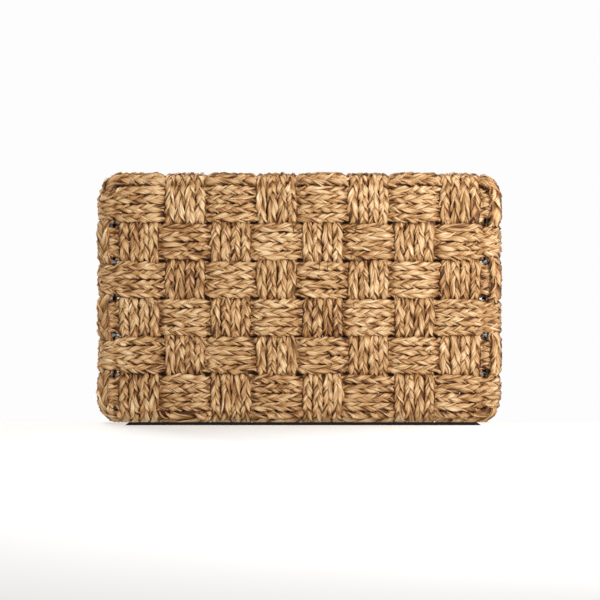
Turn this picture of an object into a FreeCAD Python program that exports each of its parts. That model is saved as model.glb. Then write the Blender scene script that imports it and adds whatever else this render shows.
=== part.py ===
import FreeCAD, Part
import math
import os
import Sketcher

# Rectangular plaited bread basket, mouth up, in millimetres.
# X runs along the long side, Y along the short side, and Z up from the surface it stands on.
# Eight cross bands and six long bands are plaited into the base, turn up into the walls, pass
# in and out of two wall bands, fold in over the rim and end tucked inside.
# A welded frame stands inside the plait: a base ring, a rim ring and posts of round wire, and
# crossbars of flat strip.

VECTOR = FreeCAD.Vector
TOLERANCE = 1e-6

DIMENSIONS = {
    "overall_length": 360,
    "overall_width": 224,
    "overall_height": 96,
    "column_pitch": 40.5,
    "column_width": 35,
    "row_pitch": 33.4,
    "row_width": 28.2,
    "band_thickness": 3,
    "layer_gap": 0.5,
    "crossing_angle": 50,
    "bend_reach": 13.5,
    "wall_band_height": 30.5,
    "wall_band_gap": 4.9,
    "wall_band_start": 11.5,
    "fold_radius": 5.4,
    "tuck_length": 24,
    "rim_braid_height": 8,
    "rim_braid_thickness": 2.6,
    "rim_braid_depth": 4.7,
    "rim_braid_rise": 1.2,
    "ring_wire": 4.2,
    "post_wire": 3.6,
    "crossbar_width": 8,
    "crossbar_thickness": 2,
    "base_ring_depth": 11.7,
    "base_ring_level": 11.4,
    "rim_ring_depth": 8.4,
    "base_ring_corner": 8,
    "rim_ring_corner": 6,
    "post_foot_depth": 10.5,
    "corner_post_angle": 58,
}

COLUMNS = range(1, 9)
ROWS = range(1, 7)
POSTED_COLUMN_GAPS = (2, 4, 6)
POSTED_ROW_GAPS = (2, 4)

document = FreeCAD.newDocument("BreadBasket")


def make_sheet():
    sheet = document.addObject("Spreadsheet::Sheet", "Sizes")
    for line, (alias, value) in enumerate(DIMENSIONS.items(), start=1):
        sheet.set(f"A{line}", alias)
        sheet.set(f"B{line}", str(value))
        sheet.setAlias(f"B{line}", alias)
    document.recompute()
    return sheet


sheet = make_sheet()


def size(alias):
    """The value of one cell of the sheet, in millimetres or degrees."""
    return float(sheet.get(alias))


HALF_LENGTH = size("overall_length") / 2
HALF_WIDTH = size("overall_width") / 2
HEIGHT = size("overall_height")
THICKNESS = size("band_thickness")

# Depths are measured inward from the basket's outer faces to the middle of a layer.
OUTER_DEPTH = THICKNESS / 2
INNER_DEPTH = OUTER_DEPTH + THICKNESS + size("layer_gap")
TUCK_DEPTH = OUTER_DEPTH + 2 * size("fold_radius")
CROSSING_RUN = (INNER_DEPTH - OUTER_DEPTH) / math.tan(math.radians(size("crossing_angle")))

# The two wall bands, and the gaps above each one where the uprights change layer.
LOWER_BAND_START = size("wall_band_start")
UPPER_BAND_START = LOWER_BAND_START + size("wall_band_height") + size("wall_band_gap")
LOWER_GAP_LEVEL = UPPER_BAND_START - size("wall_band_gap") / 2
UPPER_GAP_LEVEL = UPPER_BAND_START + size("wall_band_height") + size("wall_band_gap") / 2
RIM_RING_LEVEL = HEIGHT - OUTER_DEPTH - size("fold_radius")


def column_centre(column):
    return (column - (len(COLUMNS) + 1) / 2) * size("column_pitch")


def row_centre(row):
    return (row - (len(ROWS) + 1) / 2) * size("row_pitch")


def cross_band_is_outer(column, row):
    """The plain weave of the base: the cross band is the outer one at every second crossing."""
    return (column + row) % 2 == 1


def depth(is_outer):
    return OUTER_DEPTH if is_outer else INNER_DEPTH


# Rounded outlines. A path is a list of corners, (u, v, radius), in the plane of a sketch.


def offset_corners(corners, distance, closed):
    """The same path moved to its left by a distance, with its arcs kept concentric."""
    moved = []
    count = len(corners)
    for index, (u, v, radius) in enumerate(corners):
        here = VECTOR(u, v, 0)
        ways = []
        if closed or index > 0:
            before = corners[index - 1]
            ways.append((here - VECTOR(before[0], before[1], 0)).normalize())
        if closed or index < count - 1:
            after = corners[(index + 1) % count]
            ways.append((VECTOR(after[0], after[1], 0) - here).normalize())
        normals = [VECTOR(-way.y, way.x, 0) for way in ways]
        if len(normals) == 1:
            point = here + normals[0] * distance
        else:
            spread = 1 + normals[0].dot(normals[1])
            point = here + (normals[0] + normals[1]) * (distance / spread)
        if radius > 0:
            turns_left = ways[0].cross(ways[1]).z > 0
            radius += -distance if turns_left else distance
        moved.append((point.x, point.y, radius))
    return moved


def edges_along(corners, closed):
    """Line segments and arcs through the corners of a path, in order."""
    count = len(corners)
    joints = []
    for index, (u, v, radius) in enumerate(corners):
        here = VECTOR(u, v, 0)
        if radius <= 0:
            joints.append((here, None, here))
            continue
        before = corners[index - 1]
        after = corners[(index + 1) % count]
        back = (VECTOR(before[0], before[1], 0) - here).normalize()
        ahead = (VECTOR(after[0], after[1], 0) - here).normalize()
        half_opening = math.acos(max(-1.0, min(1.0, back.dot(ahead)))) / 2
        reach = radius / math.tan(half_opening)
        towards = (back + ahead).normalize()
        middle = here + towards * (radius / math.sin(half_opening) - radius)
        joints.append((here + back * reach, middle, here + ahead * reach))
    edges = []
    for index, (start, middle, end) in enumerate(joints):
        if middle is not None:
            edges.append(Part.Arc(start, middle, end))
        if closed or index < count - 1:
            next_start = joints[(index + 1) % count][0]
            if (next_start - end).Length > TOLERANCE:
                edges.append(Part.LineSegment(end, next_start))
    return edges, joints[0][0], joints[-1][2]


def strip_outline(corners, thickness):
    """The closed outline of a strip of one thickness along an open path."""
    left, left_start, left_end = edges_along(offset_corners(corners, thickness / 2, False), False)
    right, right_start, right_end = edges_along(offset_corners(corners, -thickness / 2, False), False)
    end_cap = Part.LineSegment(left_end, right_end)
    start_cap = Part.LineSegment(right_start, left_start)
    return [left + [end_cap] + right[::-1] + [start_cap]]


def loop_outlines(corners, thickness):
    """The outer and inner outlines of a strip of one thickness along a closed path."""
    return [edges_along(offset_corners(corners, side * thickness / 2, True), True)[0] for side in (-1, 1)]


def origin_plane(body, role):
    return next(plane for plane in body.Origin.OriginFeatures if plane.Role == role)


def draw_sketch(body, role, outlines):
    """A sketch on one of the body's own planes, with its edges joined end to end."""
    sketch = body.newObject("Sketcher::SketchObject", body.Name + "_" + role)
    sketch.AttachmentSupport = [(origin_plane(body, role), "")]
    sketch.MapMode = "FlatFace"
    for edges in outlines:
        numbers = [sketch.addGeometry(edge, False) for edge in edges]
        constraints = []
        for first, second in zip(numbers, numbers[1:] + numbers[:1]):
            for first_end, second_end in ((2, 1), (2, 2), (1, 1), (1, 2)):
                gap = sketch.getPoint(first, first_end) - sketch.getPoint(second, second_end)
                if gap.Length < TOLERANCE:
                    joint = ("Coincident", first, first_end, second, second_end)
                    constraints.append(Sketcher.Constraint(*joint))
                    break
        sketch.addConstraint(constraints)
    return sketch


def make_body(name):
    body = document.addObject("PartDesign::Body", name)
    body.Label = name
    return body


def pad(body, sketch, length, centred):
    """A pad whose length is bound to the sheet, to both sides of the sketch or to one."""
    feature = body.newObject("PartDesign::Pad", body.Name + "_pad")
    feature.Profile = sketch
    feature.Midplane = centred
    feature.setExpression("Length", length)
    body.Tip = feature
    return feature


# Woven bands


def band_path(half_span, crossings):
    """The middle line of one band: tuck, rim, wall, base, wall, rim, tuck.

    crossings lists (position, is_outer) along the base. The band keeps its layer from its last
    crossing round the bend and past the lower wall band, then swaps it for the upper one.
    """
    shift = CROSSING_RUN / 2
    base = []
    for (here, here_outer), (there, there_outer) in zip(crossings, crossings[1:]):
        middle = (here + there) / 2
        base.append((middle - shift, depth(here_outer), 0))
        base.append((middle + shift, depth(there_outer), 0))

    def wall(side, is_outer):
        low = depth(is_outer)
        high = depth(not is_outer)
        corners = [
            (side * (half_span - low), low, size("bend_reach") - low),
            (side * (half_span - low), LOWER_GAP_LEVEL - shift, 0),
            (side * (half_span - high), LOWER_GAP_LEVEL + shift, 0),
        ]
        if is_outer:
            corners.append((side * (half_span - high), UPPER_GAP_LEVEL - shift, 0))
            corners.append((side * (half_span - OUTER_DEPTH), UPPER_GAP_LEVEL + shift, 0))
        fold = size("fold_radius")
        corners.append((side * (half_span - OUTER_DEPTH), HEIGHT - OUTER_DEPTH, fold))
        corners.append((side * (half_span - TUCK_DEPTH), HEIGHT - OUTER_DEPTH, fold))
        corners.append((side * (half_span - TUCK_DEPTH), RIM_RING_LEVEL - size("tuck_length"), 0))
        return corners

    left_wall = wall(-1, crossings[0][1])
    right_wall = wall(1, crossings[-1][1])
    return left_wall[::-1] + base + right_wall


def make_cross_band(column):
    body = make_body(f"cross_band_{column}")
    crossings = [(row_centre(row), cross_band_is_outer(column, row)) for row in ROWS]
    outline = strip_outline(band_path(HALF_WIDTH, crossings), THICKNESS)
    pad(body, draw_sketch(body, "YZ_Plane", outline), "Sizes.column_width", True)
    steps = column - (len(COLUMNS) + 1) / 2
    body.setExpression("Placement.Base.x", f"{steps} * Sizes.column_pitch")
    return body


def make_long_band(row):
    body = make_body(f"long_band_{row}")
    crossings = [(column_centre(column), not cross_band_is_outer(column, row)) for column in COLUMNS]
    outline = strip_outline(band_path(HALF_LENGTH, crossings), THICKNESS)
    pad(body, draw_sketch(body, "XZ_Plane", outline), "Sizes.row_width", True)
    steps = row - (len(ROWS) + 1) / 2
    body.setExpression("Placement.Base.y", f"{steps} * Sizes.row_pitch")
    return body


def wall_band_path(is_upper):
    """The closed middle line of a wall band, counter-clockwise seen from above."""
    shift = CROSSING_RUN / 2

    def layers(own_layers):
        """The wall band takes the layer that the upright leaves free, and swaps it higher up."""
        return [upright_outer == is_upper for upright_outer in own_layers]

    front = layers([cross_band_is_outer(column, ROWS[0]) for column in COLUMNS])
    back = layers([cross_band_is_outer(column, ROWS[-1]) for column in COLUMNS])
    left = layers([not cross_band_is_outer(COLUMNS[0], row) for row in ROWS])
    right = layers([not cross_band_is_outer(COLUMNS[-1], row) for row in ROWS])
    corner_step = (HALF_LENGTH - size("bend_reach") + column_centre(COLUMNS[-1])
                   + size("column_width") / 2) / 2

    def swaps(centres, own_layers):
        """(position, depth) before and after each change of layer, in rising order."""
        found = []
        pairs = list(zip(centres, own_layers))
        for (here, here_outer), (there, there_outer) in zip(pairs, pairs[1:]):
            middle = (here + there) / 2
            found.append((middle - shift, depth(here_outer)))
            found.append((middle + shift, depth(there_outer)))
        return found

    def long_wall(own_layers, first_end_outer, last_end_outer):
        """A long wall also changes layer beside each corner, to meet the end wall's layer."""
        centres = [-corner_step * 2 - column_centre(COLUMNS[0])]
        centres += [column_centre(column) for column in COLUMNS]
        centres += [-centres[0]]
        return swaps(centres, [first_end_outer] + own_layers + [last_end_outer])

    def corner(x_side, y_side, end_outer):
        inset = depth(end_outer)
        x = x_side * (HALF_LENGTH - inset)
        y = y_side * (HALF_WIDTH - inset)
        return (x, y, size("bend_reach") - inset)

    row_centres = [row_centre(row) for row in ROWS]
    path = [corner(-1, -1, left[0])]
    path += [(x, inset - HALF_WIDTH, 0) for x, inset in long_wall(front, left[0], right[0])]
    path += [corner(1, -1, right[0])]
    path += [(HALF_LENGTH - inset, y, 0) for y, inset in swaps(row_centres, right)]
    path += [corner(1, 1, right[-1])]
    path += [(x, HALF_WIDTH - inset, 0) for x, inset in long_wall(back, left[-1], right[-1])[::-1]]
    path += [corner(-1, 1, left[-1])]
    path += [(inset - HALF_LENGTH, y, 0) for y, inset in swaps(row_centres, left)[::-1]]
    return path


def make_wall_band(name, is_upper, level):
    body = make_body(name)
    outlines = loop_outlines(wall_band_path(is_upper), THICKNESS)
    pad(body, draw_sketch(body, "XY_Plane", outlines), "Sizes.wall_band_height", False)
    body.setExpression("Placement.Base.z", level)
    return body


def rounded_rectangle(inset, radius):
    """A closed path inside the basket's plan, with equal corners."""
    x = HALF_LENGTH - inset
    y = HALF_WIDTH - inset
    return [(-x, -y, radius), (x, -y, radius), (x, y, radius), (-x, y, radius)]


def base_corner_radius(inset):
    """The base ring and the feet of the corner posts lie about one centre at each corner."""
    return size("base_ring_corner") + size("base_ring_depth") - inset


def rim_corner_radius(inset):
    """The rim ring and the rim braid turn about one centre at each corner."""
    return size("rim_ring_corner") + size("rim_ring_depth") - inset


def make_rim_braid():
    body = make_body("rim_braid")
    inset = size("rim_braid_depth")
    path = rounded_rectangle(inset, rim_corner_radius(inset))
    outlines = loop_outlines(path, size("rim_braid_thickness"))
    pad(body, draw_sketch(body, "XY_Plane", outlines), "Sizes.rim_braid_height", False)
    body.setExpression(
        "Placement.Base.z",
        "Sizes.overall_height - Sizes.band_thickness / 2 - Sizes.fold_radius"
        " + Sizes.rim_braid_rise - Sizes.rim_braid_height",
    )
    return body


# Wire frame


def make_ring(name, inset, corner_radius, level):
    """A round wire bent to a rounded rectangle, its section drawn where it crosses the Y axis."""
    body = make_body(name)
    spine_edges, _, _ = edges_along(rounded_rectangle(inset, corner_radius), True)
    spine = draw_sketch(body, "XY_Plane", [spine_edges])
    section = body.newObject("Sketcher::SketchObject", name + "_section")
    section.AttachmentSupport = [(origin_plane(body, "YZ_Plane"), "")]
    section.MapMode = "FlatFace"
    centre = VECTOR(HALF_WIDTH - inset, 0, 0)
    section.addGeometry(Part.Circle(centre, VECTOR(0, 0, 1), size("ring_wire") / 2), False)
    section.addConstraint(Sketcher.Constraint("Radius", 0, size("ring_wire") / 2))
    section.renameConstraint(0, "wire_radius")
    section.setExpression("Constraints.wire_radius", "Sizes.ring_wire / 2")
    pipe = body.newObject("PartDesign::AdditivePipe", name + "_pipe")
    pipe.Profile = section
    pipe.Spine = spine
    body.Tip = pipe
    body.setExpression("Placement.Base.z", level)
    return body


def cope(bar, name, rings):
    """Cut the rings out of a bar that ends on their centre lines, so that it meets their faces."""
    for ring in rings:
        cut = document.addObject("Part::Cut", f"{name}_coped_by_{ring.Name}")
        cut.Base = bar
        cut.Tool = ring
        bar = cut
    bar.Label = name
    return bar


def make_crossbars(base_ring):
    """Flat strips behind the gaps between cross bands, from side to side of the base ring."""
    bars = []
    reach = HALF_WIDTH - size("base_ring_depth")
    bottom = size("base_ring_level") - size("crossbar_thickness") / 2
    for column in COLUMNS[:-1]:
        name = f"base_crossbar_{column}"
        middle = (column_centre(column) + column_centre(column + 1)) / 2
        left = middle - size("crossbar_width") / 2
        strip = document.addObject("Part::Box", name + "_strip")
        strip.setExpression("Length", "Sizes.crossbar_width")
        strip.setExpression("Height", "Sizes.crossbar_thickness")
        strip.Width = 2 * reach
        strip.Placement = FreeCAD.Placement(VECTOR(left, -reach, bottom), FreeCAD.Rotation())
        bars.append(cope(strip, name, [base_ring]))
    return bars


def make_post(name, foot, top, rings):
    """A straight wire from the base ring's level to the rim ring's, coped to fit both."""
    wire = document.addObject("Part::Cylinder", name + "_wire")
    wire.setExpression("Radius", "Sizes.post_wire / 2")
    wire.Height = (top - foot).Length
    wire.Placement = FreeCAD.Placement(foot, FreeCAD.Rotation(VECTOR(0, 0, 1), top - foot))
    return cope(wire, name, rings)


def corner_point(inset, corner_radius):
    """A point on a ring's back right corner, at the corner posts' angle from the long side."""
    angle = math.radians(size("corner_post_angle"))
    x = HALF_LENGTH - inset - corner_radius * (1 - math.cos(angle))
    y = HALF_WIDTH - inset - corner_radius * (1 - math.sin(angle))
    return x, y


def make_posts(base_ring, rim_ring):
    """Posts in the gaps between uprights, and one near each corner, leaning out to the rim."""
    low_inset = size("post_foot_depth")
    high_inset = size("rim_ring_depth")
    low = size("base_ring_level")
    high = RIM_RING_LEVEL
    rings = [base_ring, rim_ring]
    posts = []

    def add(name, foot_x, foot_y, top_x, top_y):
        foot = VECTOR(foot_x, foot_y, low)
        top = VECTOR(top_x, top_y, high)
        posts.append(make_post(name, foot, top, rings))

    for wall, side in (("front", -1), ("back", 1)):
        for number, gap in enumerate(POSTED_COLUMN_GAPS, start=1):
            x = (column_centre(gap) + column_centre(gap + 1)) / 2
            foot = side * (HALF_WIDTH - low_inset)
            top = side * (HALF_WIDTH - high_inset)
            add(f"{wall}_post_{number}", x, foot, x, top)
    for wall, side in (("left", -1), ("right", 1)):
        for number, gap in enumerate(POSTED_ROW_GAPS, start=1):
            y = (row_centre(gap) + row_centre(gap + 1)) / 2
            foot = side * (HALF_LENGTH - low_inset)
            top = side * (HALF_LENGTH - high_inset)
            add(f"{wall}_post_{number}", foot, y, top, y)

    foot = corner_point(low_inset, base_corner_radius(low_inset))
    top = corner_point(high_inset, rim_corner_radius(high_inset))
    for y_name, y_side in (("front", -1), ("back", 1)):
        for x_name, x_side in (("left", -1), ("right", 1)):
            name = f"corner_post_{y_name}_{x_name}"
            add(name, x_side * foot[0], y_side * foot[1], x_side * top[0], y_side * top[1])
    return posts


def build():
    base_ring = make_ring(
        "base_ring",
        size("base_ring_depth"),
        size("base_ring_corner"),
        "Sizes.base_ring_level",
    )
    rim_ring = make_ring(
        "rim_ring",
        size("rim_ring_depth"),
        size("rim_ring_corner"),
        "Sizes.overall_height - Sizes.band_thickness / 2 - Sizes.fold_radius",
    )
    document.recompute()
    pieces = [base_ring, rim_ring]
    pieces += make_crossbars(base_ring)
    pieces += make_posts(base_ring, rim_ring)
    pieces += [make_cross_band(column) for column in COLUMNS]
    pieces += [make_long_band(row) for row in ROWS]
    pieces.append(make_wall_band("wall_band_lower", False, "Sizes.wall_band_start"))
    pieces.append(
        make_wall_band(
            "wall_band_upper",
            True,
            "Sizes.wall_band_start + Sizes.wall_band_height + Sizes.wall_band_gap",
        )
    )
    pieces.append(make_rim_braid())
    document.recompute()
    return pieces


def check(pieces):
    for feature in document.Objects:
        if "Invalid" in feature.State or "Error" in feature.State:
            raise RuntimeError(f"{feature.Name} did not compute: {feature.State}")
    for piece in pieces:
        if piece.Shape.isNull() or not piece.Shape.isValid():
            raise RuntimeError(f"{piece.Label} has no valid shape")
        if len(piece.Shape.Solids) != 1:
            raise RuntimeError(f"{piece.Label} is {len(piece.Shape.Solids)} solids")


def export(pieces):
    os.makedirs("parts", exist_ok=True)
    for piece in pieces:
        piece.Shape.exportStep(f"parts/{piece.Label}.step")


pieces = build()
check(pieces)
export(pieces)
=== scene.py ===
import math

import bpy
import numpy as np
from mathutils import Matrix, Vector


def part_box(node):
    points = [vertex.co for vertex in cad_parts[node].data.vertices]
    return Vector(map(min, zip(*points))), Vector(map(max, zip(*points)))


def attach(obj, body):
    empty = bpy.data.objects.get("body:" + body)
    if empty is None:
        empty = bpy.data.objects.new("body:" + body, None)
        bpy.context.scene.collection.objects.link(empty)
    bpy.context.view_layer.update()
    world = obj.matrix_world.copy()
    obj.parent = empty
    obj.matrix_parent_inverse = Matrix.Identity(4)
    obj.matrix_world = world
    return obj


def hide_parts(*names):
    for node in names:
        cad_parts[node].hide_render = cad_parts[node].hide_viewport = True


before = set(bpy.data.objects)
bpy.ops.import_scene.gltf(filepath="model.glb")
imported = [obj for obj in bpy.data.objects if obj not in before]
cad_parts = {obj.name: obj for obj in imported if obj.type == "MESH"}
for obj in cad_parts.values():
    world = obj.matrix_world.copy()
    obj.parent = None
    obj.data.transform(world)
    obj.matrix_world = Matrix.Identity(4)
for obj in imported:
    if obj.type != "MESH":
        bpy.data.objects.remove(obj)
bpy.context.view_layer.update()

# Bread basket: flat bands of four grass plaits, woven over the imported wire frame.
# Lengths are millimetres inside this script, and MM turns them into Blender's metres.

MM = 0.001

# ---------------------------------------------------------------- sizes from the frame


def box_mm(node):
    low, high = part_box(node)
    return np.array(low) / MM, np.array(high) / MM


def centre_mm(node):
    low, high = box_mm(node)
    return (low + high) / 2


COLUMNS = range(1, 9)
ROWS = range(1, 7)
column_x = {column: centre_mm(f"cross_band_{column}")[0] for column in COLUMNS}
row_y = {row: centre_mm(f"long_band_{row}")[1] for row in ROWS}
COLUMN_PITCH = column_x[2] - column_x[1]
ROW_PITCH = row_y[2] - row_y[1]
HALF_WIDTH = box_mm("cross_band_1")[1][1]
HALF_LENGTH = box_mm("long_band_1")[1][0]
RIM_WIRE_LEVEL = centre_mm("rim_ring")[2]

# ---------------------------------------------------------------- the plait's own sizes

PLAITS_PER_BAND = 4
CROSS_PLAIT = 8.9          # width of one plait in a cross band
LONG_PLAIT = 8.2           # width of one plait in a long band
WALL_PLAIT = 9.3           # width of one plait in a wall band
PERIOD = 44.0              # length over which one strand returns to its place
PERIOD_SPREAD = (0.93, 1.07)
STEP = 2.0                 # spacing of the rings of points along a leaf
LOOP_STEP = 2.8            # the same along the wall bands and the rim braid
PATH_STEP = 0.5            # spacing of the points of a centre line

SWING = 0.32               # how far a strand swings to each side, as a share of the plait's width
PLAIT_RISE = 0.95          # how far a strand climbs above the plait's middle
TURN_SHARE = 0.55          # how much of its climb a strand follows by turning
LEAF_SHARE = 0.31          # half a broad leaf's width, as a share of the plait's width
LEAF_HALF_THICKNESS = 1.0
BROAD_SIDES = 12           # corners of a broad leaf's cross-section
NARROW_SIDES = 6           # the same for a narrow leaf, a core or a stray fibre
NARROW_LEAF = 0.36         # a strand's narrow leaf, as a share of its broad one
NARROW_THICKNESS = 0.75    # the same for the thickness
NARROW_REACH = 0.75        # how far a narrow leaf may stray from the broad one's middle line
NARROW_FACE = 0.45         # how far it stands out of that leaf's middle plane, likewise a share
NARROW_TONE = (0.02, 0.07) # mean and spread of its change in tone
STRAND_TONE_SPREAD = 0.03
CORE_SHARE = 0.5           # half the core's width, as a share of the plait's width
CORE_HALF_THICKNESS = 0.35
CORE_SHADE = 0.12          # how much darker the core is than the leaves
RIDGES = 3                 # folds across a leaf
RIDGE_DEPTH = 0.1
LOOP_FADE = 12.0           # length near a loop's join over which the unevenness dies out
END_TAPER = 2.0            # length over which a leaf narrows at its ends

# Painted shade: a leaf's colour is darkened deep in its plait and along its edges, where shade
# falls.
PAINTED_SHADE_HEIGHT = 2.1         # height above the plait's middle beyond which a leaf gets no painted shade
EDGE_PAINTED_SHADE = 0.6          # how much painted shade darkens a leaf along its edges, where leaves overlap
EDGE_SHARPNESS = 7
MOST_PAINTED_SHADE = 1.3

OUTER = 2.3                # depth of an outer layer's middle below the basket's outer face
INNER = 6.6                # depth of an inner layer's middle
MIDDLE = (OUTER + INNER) / 2
BEND = 13.5                # the bend between base and wall turns about a line this deep
CORNER = 24.0              # plan radius of the basket's outer corners
CROWN = 1.5                # how far the ends of a crossing lie back from its middle
CROSS_GATHER = 0.05        # how much narrower a cross band is where it dives between crossings
LONG_GATHER = 0.09         # the same for a long band
EDGE_GATHER = 0.26         # the same for a long band between its last crossing and the wall
EDGE_GATHER_START = 4.0    # length over which that last gathering comes in
GATHER_FADE = 25.0         # height up the wall over which it goes again
DIVE = 15.0                # how sharply a band changes layer between crossings
SIDE_PLAIT_SINK = 0.4      # how much deeper a band's two outermost plaits lie
CREASE_REACH = 3.2         # half the length of the crease where a band dives, whose tone gets painted shade
PAINTED_CREASE_SHADE = 0.24
CROSS_TONE = 0.0
LONG_TONE = 0.03
STRAYS_PER_BAND = 7
STRAY_POINTS = 14

BEND_PLAIT = 12.0          # width of the wall plait that lies in the bend
BEND_TILT = 53.0           # how far that plait is turned from the wall towards the base
LOWER_LEVELS = (None, 14.6, 24.0, 33.4)   # None is the plait in the bend
UPPER_LEVELS = (44.6, 53.8, 63.0, 72.2)
LOWER_GAP = 39.5           # level at which an upright changes layer
UPPER_GAP = 79.0           # level at which every upright has come to the outer layer
WALL_SWAP = (7.0, 2.6)     # length and steepness of such a change
LOOP_SWAP = (5.5, 2.4)     # the same for a wall band beside an upright
WALL_TOP = RIM_WIRE_LEVEL - 0.6
FOLD = 5.3                 # radius of the fold over the rim wire
TUCK_END = 64.0            # level at which the tucked ends stop
TUCK_SPREAD = 3.0
TUCK_LEAN = 1.9            # how far a tucked end leans back towards the wall
TUCK_LEAN_CENTRE = 9.0     # length down the tuck at which it leans
TUCK_LEAN_STEEPNESS = 1.5
RIM_BRAID_INSET = 4.6
RIM_BRAID_LEVEL = 87.0
RIM_BRAID_WIDTH = 8.6
RIM_BRAID_FLATNESS = 0.6

# Unevenness of the hand's work: the length over which each kind comes and goes, and its amount.
WANDER = {
    "ridge": (40.0, 1.5),
    "strands together": (60.0, 0.5),
    "core width": (13.0, 0.05),
    "strand phase": (35.0, 0.28),
    "strand across": (24.0, 0.3),
    "strand rise": (19.0, 0.2),
    "strand turn": (28.0, 0.3),
    "strand tone": (20.0, 0.055),
    "strand width": (16.0, 0.13),
    "strand thickness": (18.0, 0.1),
    "narrow across": (30.0, 0.6),
    "narrow tone": (20.0, 0.08),
    "narrow width": (14.0, 0.2),
    "band tone": (90.0, 0.07),
    "plait across": (50.0, 0.4),
    "plait depth": (40.0, 0.25),
    "plait tone": (60.0, 0.04),
    "wall depth": (40.0, 0.15),
    "wall level": (50.0, 0.3),
    "wall tone": (80.0, 0.08),
}


def cross_is_outer(column, row):
    return (column + row) % 2 == 1


# ---------------------------------------------------------------- smooth random wander


def wander(rng, along, kind):
    """A smooth random curve: a few waves about one reach long, with seeded phases."""
    reach, amount = WANDER[kind]
    total = np.zeros_like(along)
    for _ in range(4):
        wave = reach * rng.uniform(0.7, 1.8)
        total += np.sin(2 * math.pi * along / wave + rng.uniform(0, 2 * math.pi))
    return total * amount / 2


def smooth_step(x, steepness):
    return 0.5 + 0.5 * np.tanh(x * steepness)


# ---------------------------------------------------------------- meshes of plaits


class MeshParts:
    """Points, faces and grain data of many tubes, gathered for one object."""

    def __init__(self):
        self.points = []
        self.quads = []
        self.grain = []
        self.tone = []
        self.painted_shade = []
        self.count = 0

    def add_tube(self, rings, grain, tone, painted_shade):
        """rings is (n, sides, 3) in millimetres, and quads join each ring to the next."""
        n, sides, _ = rings.shape
        index = np.arange(n * sides).reshape(n, sides) + self.count
        a = index[:-1]
        b = index[1:]
        quads = np.stack([a, np.roll(a, -1, axis=1), np.roll(b, -1, axis=1), b], axis=-1)
        self.points.append(rings.reshape(-1, 3))
        self.quads.append(quads.reshape(-1, 4))
        self.grain.append(grain.reshape(-1, 3))
        self.tone.append(tone.reshape(-1))
        self.painted_shade.append(painted_shade.reshape(-1))
        self.count += n * sides

    def make(self, name, material):
        points = np.concatenate(self.points) * MM
        quads = np.concatenate(self.quads)
        mesh = bpy.data.meshes.new(name)
        mesh.vertices.add(len(points))
        mesh.vertices.foreach_set("co", points.astype(np.float32).ravel())
        mesh.loops.add(quads.size)
        mesh.loops.foreach_set("vertex_index", quads.astype(np.int32).ravel())
        mesh.polygons.add(len(quads))
        mesh.polygons.foreach_set("loop_start", np.arange(len(quads), dtype=np.int32) * 4)
        mesh.update(calc_edges=True)
        mesh.polygons.foreach_set("use_smooth", np.ones(len(quads), dtype=bool))
        grain = mesh.attributes.new("grain", "FLOAT_VECTOR", "POINT")
        grain.data.foreach_set("vector", np.concatenate(self.grain).astype(np.float32).ravel())
        for key, values in (("tone", self.tone), ("painted_shade", self.painted_shade)):
            layer = mesh.attributes.new(key, "FLOAT", "POINT")
            layer.data.foreach_set("value", np.concatenate(values).astype(np.float32))
        mesh.validate()
        mesh.materials.append(material)
        piece = bpy.data.objects.new(name, mesh)
        bpy.context.scene.collection.objects.link(piece)
        return piece


def unit(vectors):
    return vectors / np.linalg.norm(vectors, axis=-1, keepdims=True)


def rows_dot(a, b):
    return np.sum(a * b, axis=-1, keepdims=True)


def heading_along(line, closed):
    if not closed:
        return unit(np.gradient(line, axis=0))
    heading = unit(np.roll(line[:-1], -1, axis=0) - np.roll(line[:-1], 1, axis=0))
    return np.concatenate([heading, heading[:1]])


def length_along(path):
    steps = np.linalg.norm(np.diff(path, axis=0), axis=1)
    return np.concatenate([[0.0], np.cumsum(steps)])


def add_leaf(
    parts, rng, s, plait, middle, wide, thin, half_width, half_thickness, tone, sides, fade,
):
    """One leaf as a tube round its middle line, ridged along its length like folded grass.

    plait is the plait's centre line and its upward directions: a leaf is painted darker near that
    line, as painted shade in the plait's hollows.
    """
    line, up = plait
    count = len(s)
    angle = np.arange(sides) * 2 * math.pi / sides
    turn = (wander(rng, s, "ridge") * fade)[:, None]
    ridge = RIDGE_DEPTH * np.cos(RIDGES * angle[None, :] + turn)
    flat = np.cos(angle)[None, :] * half_width[:, None] * (1 + ridge)
    tall = np.sin(angle)[None, :] * half_thickness[:, None] * (1 + 2 * ridge)
    across = wide[:, None, :] * flat[:, :, None]
    rings = middle[:, None, :] + across + thin[:, None, :] * tall[:, :, None]
    # Painted shade: darker the nearer a point lies to the plait's middle, and along the leaf's
    # edges.
    height = np.abs(np.einsum("nsc,nc->ns", rings - line[:, None, :], up))
    edge = np.abs(np.cos(angle))[None, :] ** EDGE_SHARPNESS
    painted_shade = np.clip(1 - height / PAINTED_SHADE_HEIGHT + EDGE_PAINTED_SHADE * edge, 0.0, MOST_PAINTED_SHADE)
    grain = np.empty((count, sides, 3))
    grain[..., 0] = s[:, None] + rng.uniform(0, 1000)
    grain[..., 1] = flat
    grain[..., 2] = tall + rng.uniform(0, 100)
    parts.add_tube(rings, grain, np.repeat(tone[:, None], sides, axis=1), painted_shade)


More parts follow.
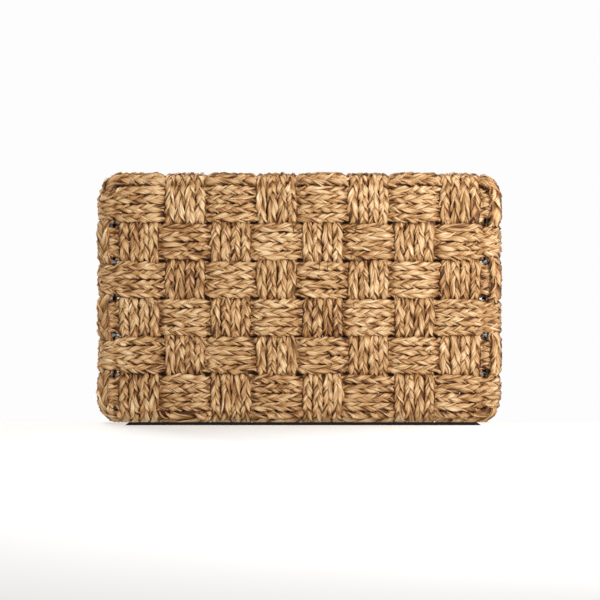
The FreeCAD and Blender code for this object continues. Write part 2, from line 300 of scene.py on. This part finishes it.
def add_plait(parts, rng, centre, normal, width, tone, flatness=1.0, closed=False):
    """Three strands plaited flat along a centre line, with normals towards the outer face.

    Each strand is a broad grass leaf with a narrow one that wanders across it. A thin flat
    core of waste leaf lies inside the plait and fills the gaps beside its neighbours.
    """
    along = length_along(centre)
    length = along[-1]
    turns = length / PERIOD * rng.uniform(*PERIOD_SPREAD)
    if closed:
        turns = round(turns)
    count = max(8, int(length / (LOOP_STEP if closed else STEP)))
    s = np.linspace(0.0, length, count)
    line = np.stack([np.interp(s, along, centre[:, i]) for i in range(3)], axis=1)
    up = unit(np.stack([np.interp(s, along, normal[:, i]) for i in range(3)], axis=1))
    tone = np.interp(s, along, tone)
    forward = heading_along(line, closed)
    side = unit(np.cross(up, forward))
    up = unit(np.cross(forward, side))

    swing = width * SWING
    start = rng.uniform(0, 2 * math.pi)
    to_end = np.minimum(s, length - s)
    fade = np.clip(to_end / LOOP_FADE, 0.0, 1.0) if closed else np.ones(count)
    taper = np.ones(count) if closed else np.clip(to_end / END_TAPER, 0.02, 1.0)

    def uneven(kind):
        return wander(rng, s, kind) * fade

    def leaf(middle, wide, thin, half_width, half_thickness, leaf_tone, sides):
        add_leaf(
            parts, rng, s, (line, up), middle, wide, thin,
            half_width * taper, half_thickness * taper, leaf_tone, sides, fade,
        )

    shared = uneven("strands together")
    core_width = width * CORE_SHARE * (1 + uneven("core width"))
    core_thickness = np.full(count, CORE_HALF_THICKNESS)
    leaf(line, side, up, core_width, core_thickness, tone - CORE_SHADE, NARROW_SIDES)

    for strand in range(3):
        phase = 2 * math.pi * turns * s / length + start + 2 * math.pi * strand / 3
        phase = phase + (wander(rng, s, "strand phase") + shared) * fade
        across = swing * np.sin(phase) + uneven("strand across")
        rise = PLAIT_RISE * flatness * np.sin(2 * phase) + uneven("strand rise")
        path = line + side * across[:, None] + up * rise[:, None]
        heading = heading_along(path, closed)
        climb = 2 * PLAIT_RISE * TURN_SHARE * np.cos(2 * phase)
        turn = np.arctan2(climb, swing * np.cos(phase))
        turn = np.unwrap(turn) + uneven("strand turn")
        wide = side * np.cos(turn)[:, None] + up * np.sin(turn)[:, None]
        wide = unit(wide - heading * rows_dot(wide, heading))
        thin = np.cross(heading, wide)

        strand_tone = tone + rng.normal(0, STRAND_TONE_SPREAD) + uneven("strand tone")
        half_width = width * LEAF_SHARE * (1 + uneven("strand width"))
        half_thickness = LEAF_HALF_THICKNESS * flatness * (1 + uneven("strand thickness"))
        leaf(path, wide, thin, half_width, half_thickness, strand_tone, BROAD_SIDES)

        stray = np.clip(wander(rng, s, "narrow across"), -NARROW_REACH, NARROW_REACH)
        stray = half_width * stray * fade
        face = np.sign(rows_dot(thin, up)[:, 0]) * half_thickness * NARROW_FACE
        face = np.convolve(np.pad(face, 2, mode="edge"), np.ones(5) / 5, mode="valid") * fade
        narrow = path + wide * stray[:, None] + thin * face[:, None]
        narrow_tone = strand_tone + rng.normal(*NARROW_TONE) + uneven("narrow tone")
        narrow_width = half_width * NARROW_LEAF * (1 + uneven("narrow width"))
        narrow_thickness = half_thickness * NARROW_THICKNESS
        leaf(narrow, wide, thin, narrow_width, narrow_thickness, narrow_tone, NARROW_SIDES)


# ---------------------------------------------------------------- paths of bands


def layer_depth(u, centres, outer, pitch):
    """Depth along a row of crossings: outer or inner at each, crowned, with soft changes."""
    result = np.full_like(u, OUTER if outer[0] else INNER)
    for index in range(len(centres) - 1):
        gap = (centres[index] + centres[index + 1]) / 2
        here = OUTER if outer[index] else INNER
        there = OUTER if outer[index + 1] else INNER
        result += (there - here) * smooth_step((u - gap) / pitch, DIVE)
    towards_outer = (MIDDLE - result) / (MIDDLE - OUTER)
    nearest = np.min(np.abs(u[:, None] - np.array(centres)[None, :]), axis=1)
    inside = np.clip(nearest / (pitch / 2), 0, 1)
    return result + CROWN * inside**2 * towards_outer


def arc_points(centre, radius, start, end):
    count = max(3, int(abs(end - start) * radius / PATH_STEP))
    angles = np.linspace(start, end, count)
    across = centre[0] + radius * np.cos(angles)
    return np.stack([across, centre[1] + radius * np.sin(angles)], axis=1)


def band_path(half_span, centres, outer, pitch, tuck_drop):
    """(u, z) points and outward normals of one plait of a band, from tuck to tuck."""
    flat_end = half_span - BEND
    bend_length = BEND * math.pi / 2
    half_length = flat_end + bend_length + (WALL_TOP - BEND)
    t = np.arange(-half_length, half_length + PATH_STEP / 2, PATH_STEP)
    depth = layer_depth(t, centres, outer, pitch)
    distance = np.abs(t)
    past_bend = distance - flat_end - bend_length
    height = np.where(distance > flat_end + bend_length, past_bend + BEND, 0)
    swap_length, steepness = WALL_SWAP
    for side, first in ((-1, outer[0]), (1, outer[-1])):
        lower = OUTER if first else INNER
        upper = INNER if first else OUTER
        on_wall = (t * side) > flat_end + bend_length
        swap = smooth_step((height - LOWER_GAP) / swap_length, steepness)
        rim = smooth_step((height - UPPER_GAP) / swap_length, steepness)
        wall_depth = lower + (upper - lower) * swap + (OUTER - upper) * rim
        depth = np.where(on_wall, wall_depth, depth)
    angle = np.clip((distance - flat_end) / BEND, 0, math.pi / 2)
    bend_reach = flat_end + (BEND - depth) * np.sin(angle)
    reach = np.where(distance < flat_end, distance, bend_reach)
    bend_level = BEND - (BEND - depth) * np.cos(angle)
    level = np.where(distance < flat_end, depth, np.where(height > 0, height, bend_level))
    wall = np.stack([np.sign(t) * reach, level], axis=1)

    fold_centre = half_span - OUTER - FOLD
    folds = []
    for side in (-1, 1):
        arc = arc_points((0, 0), FOLD, 0, math.pi)
        drop = np.arange(PATH_STEP, WALL_TOP - TUCK_END + tuck_drop, PATH_STEP)
        lean = TUCK_LEAN * smooth_step(
            (drop - TUCK_LEAN_CENTRE) / TUCK_LEAN_CENTRE, TUCK_LEAN_STEEPNESS
        )
        tail = np.stack([-FOLD + lean, -drop], axis=1)
        fold = np.concatenate([arc[1:], tail])
        folds.append(np.stack([side * (fold_centre + fold[:, 0]), WALL_TOP + fold[:, 1]], axis=1))
    path = np.concatenate([folds[0][::-1], wall, folds[1]])

    steps = np.linalg.norm(np.diff(path, axis=0), axis=1)
    path = path[np.concatenate([[True], steps > PATH_STEP / 10])]
    heading = unit(np.gradient(path, axis=0))
    outward = np.stack([heading[:, 1], -heading[:, 0]], axis=1)
    return path, outward


def from_nearest(path, centres):
    """Distance of each point from the middle of the nearest crossing."""
    return np.min(np.abs(path[:, :1] - np.array(centres)[None, :]), axis=1)


def narrowing(path, centres, pitch, along_x):
    """How much a band draws in: most where it dives between crossings and at the base's edge."""
    squeeze = LONG_GATHER if along_x else CROSS_GATHER
    on_base = squeeze * np.clip(from_nearest(path, centres) / (pitch / 2), 0, 1) ** 3
    beyond = np.abs(path[:, 0]) - (max(centres) + pitch / 2)
    at_edge = EDGE_GATHER if along_x else CROSS_GATHER
    edge = squeeze + (at_edge - squeeze) * np.clip(beyond / EDGE_GATHER_START + 1.0, 0, 1)
    up_wall = np.clip(1.0 - (path[:, 1] - BEND) / GATHER_FADE, 0.0, 1.0)
    return np.where(beyond > -EDGE_GATHER_START, np.maximum(on_base, edge * up_wall), on_base)


def creases(path, centres, pitch):
    """1 where a band on the base changes layer between its neighbours, where shade falls; its tone
    is painted darker there.
    """
    from_gap = np.abs(from_nearest(path, centres) - pitch / 2)
    return np.clip(1 - from_gap / CREASE_REACH, 0, 1) * (path[:, 1] < BEND)


def corner_inset(position, straight_end):
    """How far a rounded corner draws in at a place beyond the straight part of a wall."""
    beyond = max(0.0, abs(position) - straight_end)
    return CORNER - math.sqrt(max(0.0, CORNER**2 - beyond**2))


def add_band(
    parts, rng, along_x, line_centre, centres, outer, pitch, half_span, plait_width, tone,
):
    """One band of plaits side by side, along x or along y, and its few stray fibres."""
    straight_end = (HALF_WIDTH if along_x else HALF_LENGTH) - CORNER
    shade = None
    for plait in range(PLAITS_PER_BAND):
        slot = plait - (PLAITS_PER_BAND - 1) / 2
        inset = corner_inset(line_centre + slot * plait_width, straight_end)
        tuck_drop = rng.uniform(-TUCK_SPREAD, TUCK_SPREAD)
        path, outward = band_path(half_span - inset, centres, outer, pitch, tuck_drop)
        s = length_along(path)
        if shade is None:
            shade = wander(rng, s, "band tone")
            shade_s = s
        gather = 1 - narrowing(path, centres, pitch, along_x)
        lateral = line_centre + slot * plait_width * gather + wander(rng, s, "plait across")
        sink = SIDE_PLAIT_SINK * (abs(slot) > 1)
        depth_shift = wander(rng, s, "plait depth") - sink
        path = path + outward * depth_shift[:, None]
        if along_x:
            centre = np.stack([path[:, 0], lateral, path[:, 1]], axis=1)
            normal = np.stack([outward[:, 0], 0 * s, outward[:, 1]], axis=1)
        else:
            centre = np.stack([lateral, path[:, 0], path[:, 1]], axis=1)
            normal = np.stack([0 * s, outward[:, 0], outward[:, 1]], axis=1)
        plait_tone = tone + np.interp(s, shade_s, shade) + wander(rng, s, "plait tone")
        # Painted shade: the tone is darker where the band dives between its neighbours.
        plait_tone = plait_tone - PAINTED_CREASE_SHADE * creases(path, centres, pitch)
        add_plait(parts, rng, centre, normal, plait_width, plait_tone)
    add_stray_fibres(parts, rng, along_x, line_centre, half_span)


def add_stray_fibres(parts, rng, along_x, line_centre, half_span):
    """Loose ends of grass that stand a little off the base beside a band's plaits."""
    half_band = 17
    for _ in range(STRAYS_PER_BAND):
        length = rng.uniform(7.0, 14.0)
        t = np.linspace(0, 1, STRAY_POINTS)
        start = rng.uniform(-0.9, 0.9) * (half_span - BEND)
        turn = rng.uniform(-0.6, 0.6) + (math.pi if rng.random() < 0.5 else 0.0)
        curl = rng.uniform(-0.9, 0.9)
        angle = turn + curl * t
        u = start + np.cumsum(np.cos(angle)) * length / STRAY_POINTS
        v = line_centre + rng.uniform(-half_band, half_band)
        v = v + np.cumsum(np.sin(angle)) * length / STRAY_POINTS
        depth = 2.0 - 1.7 * np.sin(t * math.pi * rng.uniform(0.5, 0.9))
        points = np.stack([u, v, depth] if along_x else [v, u, depth], axis=1)
        heading = heading_along(points, False)
        down = np.repeat([[0.0, 0.0, -1.0]], STRAY_POINTS, axis=0)
        wide = unit(np.cross(down, heading))
        thin = np.cross(heading, wide)
        size = rng.uniform(0.25, 0.5) * np.clip(1.15 - t, 0.1, 1.0)
        tone = np.full(STRAY_POINTS, rng.uniform(-0.15, 0.2))
        add_leaf(
            parts, rng, t * length, (points, down), points, wide, thin,
            size, size * 0.6, tone, NARROW_SIDES, np.ones(STRAY_POINTS),
        )


# ---------------------------------------------------------------- wall loops


def plan_loop():
    """Points and outward normals round the outer face's rounded rectangle, back to the start."""
    x = HALF_LENGTH - CORNER
    y = HALF_WIDTH - CORNER
    pieces = []
    normals = []
    corners = ((x, y, 0), (-x, y, 90), (-x, -y, 180), (x, -y, 270))
    for index, (cx, cy, start) in enumerate(corners):
        arc = arc_points((cx, cy), CORNER, math.radians(start), math.radians(start + 90))
        pieces.append(arc)
        normals.append((arc - np.array([cx, cy])) / CORNER)
        nx, ny, next_start = corners[(index + 1) % len(corners)]
        here = arc[-1]
        there = np.array([
            nx + CORNER * math.cos(math.radians(next_start)),
            ny + CORNER * math.sin(math.radians(next_start)),
        ])
        count = max(2, int(np.linalg.norm(there - here) / PATH_STEP))
        share = np.linspace(0, 1, count + 1)[1:-1, None]
        pieces.append(here + (there - here) * share)
        normals.append(np.repeat(normals[-1][-1:], len(share), axis=0))
    points = np.concatenate(pieces)
    outward = np.concatenate(normals)
    return np.concatenate([points, points[:1]]), np.concatenate([outward, outward[:1]])


def loop_layers(points, outward, is_upper):
    """How far out the wall band lies at each point: 1 outer, 0 inner."""
    swap_length, steepness = LOOP_SWAP

    def beside_upright(axis, place, pitch, facing, side):
        from_edge = pitch / 2 - np.abs(points[:, axis] - place)
        window = smooth_step(from_edge / swap_length, steepness)
        return window * np.clip(outward[:, facing] * side * 3 - 1.5, 0, 1)

    level = np.ones(len(points))
    for column in COLUMNS:
        for row, side in ((ROWS[0], -1), (ROWS[-1], 1)):
            if cross_is_outer(column, row) != is_upper:
                level -= beside_upright(0, column_x[column], COLUMN_PITCH, 1, side)
    for row in ROWS:
        for column, side in ((COLUMNS[0], -1), (COLUMNS[-1], 1)):
            if cross_is_outer(column, row) == is_upper:
                level -= beside_upright(1, row_y[row], ROW_PITCH, 0, side)
    return np.clip(level, 0, 1)


def add_wall_band(parts, rng, levels, is_upper):
    points, outward = plan_loop()
    level_share = loop_layers(points, outward, is_upper)
    s = length_along(points)
    fade = np.clip(np.minimum(s, s[-1] - s) / LOOP_FADE, 0, 1)
    for level in levels:
        depth = INNER + (OUTER - INNER) * level_share + wander(rng, s, "wall depth") * fade
        if level is None:
            width = BEND_PLAIT
            tilt = math.radians(BEND_TILT)
            inset = BEND - (BEND - depth) * math.cos(tilt)
            height = BEND - (BEND - depth) * math.sin(tilt)
        else:
            width = WALL_PLAIT
            tilt = 0.0
            inset = depth
            height = level + wander(rng, s, "wall level") * fade
        flat = points - outward * inset[:, None]
        centre = np.stack([flat[:, 0], flat[:, 1], height], axis=1)
        level_normal = outward * math.cos(tilt)
        normal = np.stack([level_normal[:, 0], level_normal[:, 1], 0 * s - math.sin(tilt)], axis=1)
        plait_tone = wander(rng, s, "wall tone") * fade
        add_plait(parts, rng, centre, normal, width, plait_tone, closed=True)


def add_rim_braid(parts, rng):
    points, outward = plan_loop()
    flat = points - outward * RIM_BRAID_INSET
    level = np.full(len(points), RIM_BRAID_LEVEL)
    centre = np.stack([flat[:, 0], flat[:, 1], level], axis=1)
    none = np.zeros(len(points))
    normal = np.stack([outward[:, 0], outward[:, 1], none], axis=1)
    add_plait(
        parts, rng, centre, normal, RIM_BRAID_WIDTH, none,
        flatness=RIM_BRAID_FLATNESS, closed=True,
    )


# ---------------------------------------------------------------- materials


def new_material(name):
    material = bpy.data.materials.new(name)
    material.use_nodes = True
    material.node_tree.nodes.clear()
    return material, material.node_tree.nodes, material.node_tree.links


def node(nodes, kind, **values):
    """Add a shader node, and set its properties, or its inputs where it has no such property."""
    made = nodes.new(kind)
    for key, value in values.items():
        if hasattr(made, key):
            setattr(made, key, value)
        else:
            made.inputs[key].default_value = value
    return made


def colour_stops(ramp, stops):
    """Give a colour ramp exactly these (position, hex colour) stops."""
    while len(ramp.color_ramp.elements) > 1:
        ramp.color_ramp.elements.remove(ramp.color_ramp.elements[-1])
    for index, (place, colour) in enumerate(stops):
        if index == 0:
            element = ramp.color_ramp.elements[0]
            element.position = place
        else:
            element = ramp.color_ramp.elements.new(place)
        element.color = (*srgb(colour), 1.0)


def srgb(text):
    """Linear red, green and blue from a six-digit hex colour."""
    channels = [int(text[i:i + 2], 16) / 255 for i in (0, 2, 4)]
    return tuple(c / 12.92 if c <= 0.04045 else ((c + 0.055) / 1.055) ** 2.4 for c in channels)


def add_noise(nodes, links, source, scale, detail, **values):
    noise = node(nodes, "ShaderNodeTexNoise", noise_dimensions="3D", **values)
    noise.inputs["Scale"].default_value = scale
    noise.inputs["Detail"].default_value = detail
    links.new(source, noise.inputs["Vector"])
    return noise


def rough_and_bump(nodes, links, height, shader, roughness, strength, distance):
    """Let one texture vary a shader's roughness and raise its surface."""
    rough = node(nodes, "ShaderNodeMapRange")
    rough.inputs["To Min"].default_value, rough.inputs["To Max"].default_value = roughness
    links.new(height, rough.inputs["Value"])
    links.new(rough.outputs["Result"], shader.inputs["Roughness"])
    bump = node(nodes, "ShaderNodeBump")
    bump.inputs["Strength"].default_value = strength
    bump.inputs["Distance"].default_value = distance
    links.new(height, bump.inputs["Height"])
    links.new(bump.outputs["Normal"], shader.inputs["Normal"])


def colour_ramp(nodes, links, level, shader, stops):
    ramp = node(nodes, "ShaderNodeValToRGB")
    colour_stops(ramp, stops)
    links.new(level, ramp.inputs["Fac"])
    links.new(ramp.outputs["Color"], shader.inputs["Base Color"])


def principled(nodes, links):
    out = node(nodes, "ShaderNodeOutputMaterial")
    shader = node(nodes, "ShaderNodeBsdfPrincipled")
    links.new(shader.outputs["BSDF"], out.inputs["Surface"])
    return shader


FIBRE_STRETCH = (0.06, 0.75, 0.75)     # noise cells per millimetre along and across a leaf
BLOTCH_STRETCH = (0.11, 0.3, 0.3)
FIBRE_CONTRAST = 1.7
BLOTCH_CONTRAST = 0.3
MEAN_LEVEL = 0.59
PAINTED_HOLLOW_SHADE = 0.42
GRASS_COLOURS = (
    (0.0, "4a2205"),
    (0.22, "855522"),
    (0.42, "b38653"),
    (0.60, "cca575"),
    (0.80, "dfc196"),
    (1.0, "efdcba"),
)
WIRE_COLOURS = ((0.3, "23282b"), (0.7, "33393c"))


def make_grass_material():
    """Dried grass: fibres and blotches run along each leaf, and painted shade darkens the hollows
    between strands and the leaves' edges.
    """
    material, nodes, links = new_material("plaited_grass")
    shader = principled(nodes, links)
    grain = node(nodes, "ShaderNodeAttribute", attribute_name="grain")
    tone = node(nodes, "ShaderNodeAttribute", attribute_name="tone")
    painted_shade = node(nodes, "ShaderNodeAttribute", attribute_name="painted_shade")

    def stretched(amounts):
        space = node(nodes, "ShaderNodeVectorMath", operation="MULTIPLY")
        space.inputs[1].default_value = amounts
        links.new(grain.outputs["Vector"], space.inputs[0])
        return space.outputs["Vector"]

    def math_node(operation, first, second):
        made = node(nodes, "ShaderNodeMath", operation=operation)
        for socket, value in zip(made.inputs, (first, second)):
            if isinstance(value, (int, float)):
                socket.default_value = value
            else:
                links.new(value, socket)
        return made.outputs[0]

    fibres = add_noise(nodes, links, stretched(FIBRE_STRETCH), 1.0, 3.0, Roughness=0.65)
    blotch = add_noise(nodes, links, stretched(BLOTCH_STRETCH), 1.0, 2.0)
    from_middle = math_node("SUBTRACT", fibres.outputs["Fac"], 0.5)
    fibre_part = math_node("MULTIPLY", from_middle, FIBRE_CONTRAST)
    from_middle = math_node("SUBTRACT", blotch.outputs["Fac"], 0.5)
    blotch_part = math_node("MULTIPLY", from_middle, BLOTCH_CONTRAST)
    # The tone attribute is the grass's own varying tone, and also carries painted shade in the
    # creases where bands dive.
    level = math_node("ADD", math_node("ADD", fibre_part, blotch_part), tone.outputs["Fac"])
    level = math_node("ADD", level, MEAN_LEVEL)
    # Painted shade: the colour is darkened deep in the plaits and along leaf edges.
    shade = math_node("MULTIPLY", painted_shade.outputs["Fac"], PAINTED_HOLLOW_SHADE)
    level = math_node("SUBTRACT", level, shade)
    colour_ramp(nodes, links, level, shader, GRASS_COLOURS)
    rough_and_bump(nodes, links, fibres.outputs["Fac"], shader, (0.48, 0.78), 0.5, 0.0008)
    return material


def make_wire_material():
    """Dark satin paint with a fine speckle."""
    material, nodes, links = new_material("frame_wire")
    shader = principled(nodes, links)
    place = node(nodes, "ShaderNodeTexCoord")
    speckle = add_noise(nodes, links, place.outputs["Object"], 1400.0, 2.0)
    colour_ramp(nodes, links, speckle.outputs["Fac"], shader, WIRE_COLOURS)
    rough_and_bump(nodes, links, speckle.outputs["Fac"], shader, (0.42, 0.6), 0.25, 0.0002)
    return material


grass = make_grass_material()
wire = make_wire_material()

# ---------------------------------------------------------------- the object's pieces


def finish_piece(piece, node_name):
    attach(piece, "root")
    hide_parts(node_name)


# A piece's seed is its own, so that a change to one band leaves the others alone.
for column in COLUMNS:
    parts = MeshParts()
    rng = np.random.default_rng(100 + column)
    outer = [cross_is_outer(column, row) for row in ROWS]
    add_band(
        parts, rng, False, column_x[column], [row_y[row] for row in ROWS], outer,
        ROW_PITCH, HALF_WIDTH, CROSS_PLAIT, CROSS_TONE,
    )
    finish_piece(parts.make(f"cross_band_{column}_plaits", grass), f"cross_band_{column}")

for row in ROWS:
    parts = MeshParts()
    rng = np.random.default_rng(200 + row)
    outer = [not cross_is_outer(column, row) for column in COLUMNS]
    add_band(
        parts, rng, True, row_y[row], [column_x[column] for column in COLUMNS], outer,
        COLUMN_PITCH, HALF_LENGTH, LONG_PLAIT, LONG_TONE,
    )
    finish_piece(parts.make(f"long_band_{row}_plaits", grass), f"long_band_{row}")

for name, levels, is_upper, seed in (
    ("wall_band_lower", LOWER_LEVELS, False, 301),
    ("wall_band_upper", UPPER_LEVELS, True, 302),
):
    parts = MeshParts()
    add_wall_band(parts, np.random.default_rng(seed), levels, is_upper)
    finish_piece(parts.make(f"{name}_plaits", grass), name)

parts = MeshParts()
add_rim_braid(parts, np.random.default_rng(303))
finish_piece(parts.make("rim_braid_plait", grass), "rim_braid")

# The nodes that nothing replaced are the wire frame.
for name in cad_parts:
    body = bpy.data.objects.get(name)
    if body is None or body.hide_render:
        continue
    body.data.materials.clear()
    body.data.materials.append(wire)

# ---------------------------------------------------------------- stage, light and camera

scene = bpy.context.scene


def one_sided(name, shade):
    """A matt grey surface that shows only its front and is clear from behind."""
    material, nodes, links = new_material(name)
    out = node(nodes, "ShaderNodeOutputMaterial")
    pale = node(nodes, "ShaderNodeBsdfDiffuse")
    pale.inputs["Color"].default_value = (shade, shade, shade, 1.0)
    clear = node(nodes, "ShaderNodeBsdfTransparent")
    side = node(nodes, "ShaderNodeNewGeometry")
    mix = node(nodes, "ShaderNodeMixShader")
    links.new(side.outputs["Backfacing"], mix.inputs["Fac"])
    links.new(pale.outputs["BSDF"], mix.inputs[1])
    links.new(clear.outputs["BSDF"], mix.inputs[2])
    links.new(mix.outputs["Shader"], out.inputs["Surface"])
    return material


def stage_plane(name, corners, material, lights_room=False, seen=True):
    """A flat stage piece, seen by the camera, or by light and shadow too, or only by those."""
    mesh = bpy.data.meshes.new(name)
    mesh.from_pydata(list(corners), [], [tuple(range(len(corners)))])
    mesh.materials.append(material)
    plane = bpy.data.objects.new(name, mesh)
    scene.collection.objects.link(plane)
    plane.visible_camera = seen
    plane.visible_diffuse = lights_room
    plane.visible_shadow = lights_room
    plane.visible_glossy = False
    plane.visible_transmission = False
    return plane


def level_rectangle(x0, y0, x1, y1, z):
    return (x0, y0, z), (x1, y0, z), (x1, y1, z), (x0, y1, z)


def upright_rectangle(x0, z0, x1, z1, y):
    return (x0, y, z0), (x1, y, z0), (x1, y, z1), (x0, y, z1)


white = one_sided("stage_white", 0.96)
contact = one_sided("stage_contact", 0.02)
TABLE_REACH = 1.0      # the part of the table that the camera sees; white lies beyond it
FAR = 2.2              # the part that light meets
stage_plane(
    "table", level_rectangle(-TABLE_REACH, -TABLE_REACH, TABLE_REACH, TABLE_REACH, 0), white
)

# The table as light meets it: solid from above, clear from below, and open under the basket,
# so that the light for the underside comes through and doesn't light the room.
hole_x = HALF_LENGTH * MM
hole_y = HALF_WIDTH * MM + 0.001
BELOW = -0.0002
for number, (x0, y0, x1, y1) in enumerate((
    (-FAR, -FAR, FAR, -hole_y),
    (-FAR, hole_y, FAR, FAR),
    (-FAR, -hole_y, -hole_x, hole_y),
    (hole_x, -hole_y, FAR, hole_y),
), start=1):
    stage_plane(
        f"table_light_{number}", level_rectangle(x0, y0, x1, y1, BELOW), white,
        lights_room=True, seen=False,
    )

# The floor under the back wall, for the view of the underside. It lies below the table's level,
# so the table hides it from every view above, and slightly inside the plaits, which sink in.
FLOOR_SINK = 0.003
floor_y = HALF_WIDTH * MM - FLOOR_SINK
stage_plane(
    "photo_floor", upright_rectangle(-FAR, -FAR, FAR, 0, floor_y), white, lights_room=True
)
# A dark strip on it stands for the shadow where the wall touches the floor.
CONTACT_DEPTH = 0.040
CONTACT_LEFT = -0.150
contact_right = (HALF_LENGTH - CORNER) * MM
stage_plane(
    "photo_floor_contact",
    upright_rectangle(CONTACT_LEFT, -CONTACT_DEPTH, contact_right, 0, floor_y - 0.0001),
    contact,
)


def area_light(name, place, target, size, power):
    data = bpy.data.lights.new(name, "AREA")
    data.shape = "DISK"
    data.size = size
    data.energy = power
    lamp = bpy.data.objects.new(name, data)
    lamp.location = place
    lamp.rotation_euler = (Vector(target) - Vector(place)).to_track_quat("-Z", "Y").to_euler()
    lamp.visible_camera = False
    scene.collection.objects.link(lamp)


# The first light is below the table and lights the underside. The others are above it.
area_light("key_photo", (0.5, -0.42, -0.65), (0, 0, 0), 0.3, 7.4)
area_light("key_room", (-0.8, -0.9, 1.7), (0, 0, 0.05), 0.9, 26)
area_light("top_room", (0, 0, 2.4), (0, 0, 0), 4.0, 34)
area_light("side_room", (1.3, -0.2, 0.8), (0, 0, 0.05), 1.0, 9)

# The camera sees a near-white background, and surfaces get a softer, warmer light from it.
world = bpy.data.worlds.new("studio")
scene.world = world
world.use_nodes = True
tree = world.node_tree
tree.nodes.clear()
sky_out = tree.nodes.new("ShaderNodeOutputWorld")
seen = tree.nodes.new("ShaderNodeBackground")
seen.inputs["Color"].default_value = (1, 1, 1, 1)
seen.inputs["Strength"].default_value = 0.98
fill = tree.nodes.new("ShaderNodeBackground")
fill.inputs["Color"].default_value = (1.0, 0.975, 0.93, 1)
fill.inputs["Strength"].default_value = 0.45
which = tree.nodes.new("ShaderNodeLightPath")
blend = tree.nodes.new("ShaderNodeMixShader")
tree.links.new(which.outputs["Is Camera Ray"], blend.inputs["Fac"])
tree.links.new(fill.outputs["Background"], blend.inputs[1])
tree.links.new(seen.outputs["Background"], blend.inputs[2])
tree.links.new(blend.outputs["Shader"], sky_out.inputs["Surface"])
scene.view_settings.view_transform = "Standard"

# The camera looks up at the underside, square on, with the basket's front wall uppermost.
IMAGE_WIDTH = 0.5287   # the width in view at the plane of the underside
DISTANCE = 1.6
SENSOR = 36.0
AIM = (0.0004, 0.0013, 0)
camera_data = bpy.data.cameras.new("camera")
camera_data.sensor_width = SENSOR
camera_data.lens = SENSOR * DISTANCE / IMAGE_WIDTH
camera = bpy.data.objects.new("camera", camera_data)
right = Vector((1, 0, 0))
image_up = Vector((0, -1, 0))
backward = right.cross(image_up)
rotation = Matrix((right, image_up, backward)).transposed()
place = Vector(AIM) + backward * DISTANCE
camera.matrix_world = Matrix.Translation(place) @ rotation.to_4x4()
scene.collection.objects.link(camera)
scene.camera = camera
